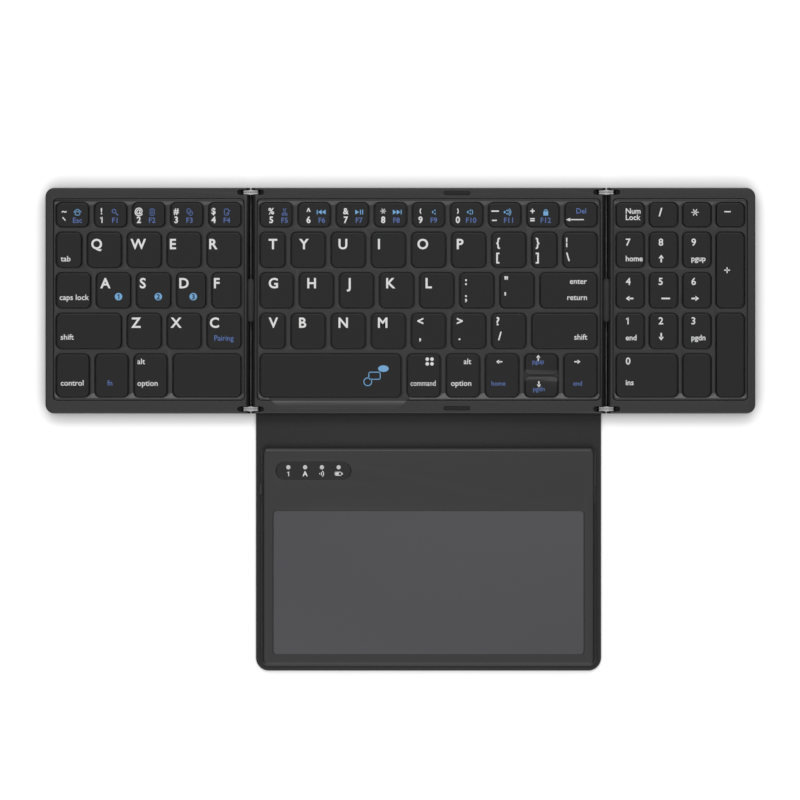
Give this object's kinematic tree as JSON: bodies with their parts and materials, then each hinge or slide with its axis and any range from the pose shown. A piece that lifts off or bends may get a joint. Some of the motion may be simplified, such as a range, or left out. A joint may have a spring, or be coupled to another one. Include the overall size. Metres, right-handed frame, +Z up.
{
  "type": "folding keyboard",
  "caption": "Tri-fold travel keyboard: a middle section with two wings on double-pivot links, and a leather flap with a touchpad that closes over it.",
  "frame": {"origin": "centre of the middle section's underside, on the table", "axes": "+X right, towards the number-pad wing; +Y rear, away from the typist; +Z up out of the keys"},
  "size_m": [0.3301, 0.2248, 0.0059],
  "materials": {
    "housing_plastic": "fine matte texture",
    "keycap_plastic": "smooth matte",
    "touchpad_plastic": "fine matte texture",
    "touch_film": "satin film",
    "window_plastic": "dark gloss",
    "led": "clear",
    "leather": "fine grain",
    "polished_steel": "polished",
    "steel_sheet": "mill finish",
    "membrane_film": "dark printed film",
    "dome_rubber": "silicone",
    "switch_plastic": "natural",
    "black_rubber": "matt",
    "bridge_rubber": "satin",
    "circuit_board": "solder mask",
    "battery_foil": "foil",
    "switch_knob": "matt"
  },
  "bodies": {
    "main_section": {"main_bottom_shell": "housing_plastic", "main_top_cover": "housing_plastic", "main_key_web": "housing_plastic", "main_key_plate": "steel_sheet", "main_membrane": "membrane_film", "main_rubber_domes": "dome_rubber", "main_scissors": "switch_plastic", "main_hinge_pins": "polished_steel", "housing_screws": "polished_steel", "bumper_pads": "black_rubber", "leather_back": "leather"},
    "left_links": {"left_hinge_links": "polished_steel", "left_flex_bridge": "bridge_rubber"},
    "left_wing": {"left_bottom_shell": "housing_plastic", "left_top_cover": "housing_plastic", "left_key_web": "housing_plastic", "left_key_plate": "steel_sheet", "left_membrane": "membrane_film", "left_rubber_domes": "dome_rubber", "left_scissors": "switch_plastic", "left_hinge_pins": "polished_steel", "left_feet": "black_rubber"},
    "right_links": {"right_hinge_links": "polished_steel", "right_flex_bridge": "bridge_rubber"},
    "right_wing": {"right_bottom_shell": "housing_plastic", "right_top_cover": "housing_plastic", "right_key_web": "housing_plastic", "right_key_plate": "steel_sheet", "right_membrane": "membrane_film", "right_rubber_domes": "dome_rubber", "right_scissors": "switch_plastic", "right_hinge_pins": "polished_steel", "right_feet": "black_rubber"},
    "spine": {"leather_spine": "leather"},
    "touchpad_flap": {"leather_flap": "leather", "touchpad_tray": "touchpad_plastic", "touchpad_bezel": "touchpad_plastic", "touch_surface": "touch_film", "touch_board": "circuit_board", "battery": "battery_foil", "indicator_window": "window_plastic", "indicator_leds": "led", "charging_port": "polished_steel", "closing_magnets": "polished_steel"},
    "power_switch": {"power_switch": "switch_knob"},
    "main_keys_1": {"main_keys_row_1": "keycap_plastic"},
    "main_keys_2": {"main_keys_row_2": "keycap_plastic"},
    "main_keys_3": {"main_keys_row_3": "keycap_plastic"},
    "main_keys_4": {"main_keys_row_4": "keycap_plastic"},
    "main_keys_5": {"main_keys_row_5": "keycap_plastic"},
    "left_keys_1": {"left_keys_row_1": "keycap_plastic"},
    "left_keys_2": {"left_keys_row_2": "keycap_plastic"},
    "left_keys_3": {"left_keys_row_3": "keycap_plastic"},
    "left_keys_4": {"left_keys_row_4": "keycap_plastic"},
    "left_keys_5": {"left_keys_row_5": "keycap_plastic"},
    "right_keys_1": {"right_keys_row_1": "keycap_plastic"},
    "right_keys_2": {"right_keys_row_2": "keycap_plastic"},
    "right_keys_3": {"right_keys_row_3": "keycap_plastic"},
    "right_keys_4": {"right_keys_row_4": "keycap_plastic"},
    "right_keys_5": {"right_keys_row_5": "keycap_plastic"}
  },
  "joints": [
    {"name": "left_link_hinge", "type": "hinge", "parent": "main_section", "child": "left_links", "pos_m": [-0.0799, 0, 0.003], "axis": [0, 1, 0], "range_deg": [0, 90], "deforming": ["left_flex_bridge"]},
    {"name": "left_wing_hinge", "type": "hinge", "parent": "left_links", "child": "left_wing", "pos_m": [-0.0856, 0, 0.003], "axis": [0, 1, 0], "range_deg": [0, 90]},
    {"name": "right_link_hinge", "type": "hinge", "parent": "main_section", "child": "right_links", "pos_m": [0.0799, 0, 0.003], "axis": [0, -1, 0], "range_deg": [0, 90], "deforming": ["right_flex_bridge"]},
    {"name": "right_wing_hinge", "type": "hinge", "parent": "right_links", "child": "right_wing", "pos_m": [0.0856, 0, 0.003], "axis": [0, -1, 0], "range_deg": [0, 90]},
    {"name": "spine_crease", "type": "hinge", "parent": "main_section", "child": "spine", "pos_m": [0, -0.053, 0.0004], "axis": [-1, 0, 0], "range_deg": [0, 90]},
    {"name": "flap_crease", "type": "hinge", "parent": "spine", "child": "touchpad_flap", "pos_m": [0, -0.068, 0.0004], "axis": [-1, 0, 0], "range_deg": [0, 90]},
    {"name": "power_switch_slide", "type": "slide", "parent": "touchpad_flap", "child": "power_switch", "axis": [0, -1, 0], "range_m": [0, 0.0025]},
    {"name": "main_keys_1_press", "type": "slide", "parent": "main_section", "child": "main_keys_1", "axis": [0, 0, -1], "range_m": [0, 0.0013], "stiffness_N_per_m": 500, "springref_m": -0.001},
    {"name": "main_keys_2_press", "type": "slide", "parent": "main_section", "child": "main_keys_2", "axis": [0, 0, -1], "range_m": [0, 0.0013], "stiffness_N_per_m": 500, "springref_m": -0.001},
    {"name": "main_keys_3_press", "type": "slide", "parent": "main_section", "child": "main_keys_3", "axis": [0, 0, -1], "range_m": [0, 0.0013], "stiffness_N_per_m": 500, "springref_m": -0.001, "deforming": ["main_rubber_domes", "main_scissors"]},
    {"name": "main_keys_4_press", "type": "slide", "parent": "main_section", "child": "main_keys_4", "axis": [0, 0, -1], "range_m": [0, 0.0013], "stiffness_N_per_m": 500, "springref_m": -0.001},
    {"name": "main_keys_5_press", "type": "slide", "parent": "main_section", "child": "main_keys_5", "axis": [0, 0, -1], "range_m": [0, 0.0013], "stiffness_N_per_m": 500, "springref_m": -0.001},
    {"name": "left_keys_1_press", "type": "slide", "parent": "left_wing", "child": "left_keys_1", "axis": [0, 0, -1], "range_m": [0, 0.0013], "stiffness_N_per_m": 500, "springref_m": -0.001},
    {"name": "left_keys_2_press", "type": "slide", "parent": "left_wing", "child": "left_keys_2", "axis": [0, 0, -1], "range_m": [0, 0.0013], "stiffness_N_per_m": 500, "springref_m": -0.001},
    {"name": "left_keys_3_press", "type": "slide", "parent": "left_wing", "child": "left_keys_3", "axis": [0, 0, -1], "range_m": [0, 0.0013], "stiffness_N_per_m": 500, "springref_m": -0.001, "deforming": ["left_rubber_domes", "left_scissors"]},
    {"name": "left_keys_4_press", "type": "slide", "parent": "left_wing", "child": "left_keys_4", "axis": [0, 0, -1], "range_m": [0, 0.0013], "stiffness_N_per_m": 500, "springref_m": -0.001},
    {"name": "left_keys_5_press", "type": "slide", "parent": "left_wing", "child": "left_keys_5", "axis": [0, 0, -1], "range_m": [0, 0.0013], "stiffness_N_per_m": 500, "springref_m": -0.001},
    {"name": "right_keys_1_press", "type": "slide", "parent": "right_wing", "child": "right_keys_1", "axis": [0, 0, -1], "range_m": [0, 0.0013], "stiffness_N_per_m": 500, "springref_m": -0.001},
    {"name": "right_keys_2_press", "type": "slide", "parent": "right_wing", "child": "right_keys_2", "axis": [0, 0, -1], "range_m": [0, 0.0013], "stiffness_N_per_m": 500, "springref_m": -0.001},
    {"name": "right_keys_3_press", "type": "slide", "parent": "right_wing", "child": "right_keys_3", "axis": [0, 0, -1], "range_m": [0, 0.0013], "stiffness_N_per_m": 500, "springref_m": -0.001, "deforming": ["right_rubber_domes", "right_scissors"]},
    {"name": "right_keys_4_press", "type": "slide", "parent": "right_wing", "child": "right_keys_4", "axis": [0, 0, -1], "range_m": [0, 0.0013], "stiffness_N_per_m": 500, "springref_m": -0.001},
    {"name": "right_keys_5_press", "type": "slide", "parent": "right_wing", "child": "right_keys_5", "axis": [0, 0, -1], "range_m": [0, 0.0013], "stiffness_N_per_m": 500, "springref_m": -0.001}
  ],
  "couplings": [
    {"joint": "left_link_hinge", "follows": "left_wing_hinge", "ratio": 1},
    {"joint": "right_link_hinge", "follows": "right_wing_hinge", "ratio": 1}
  ]
}
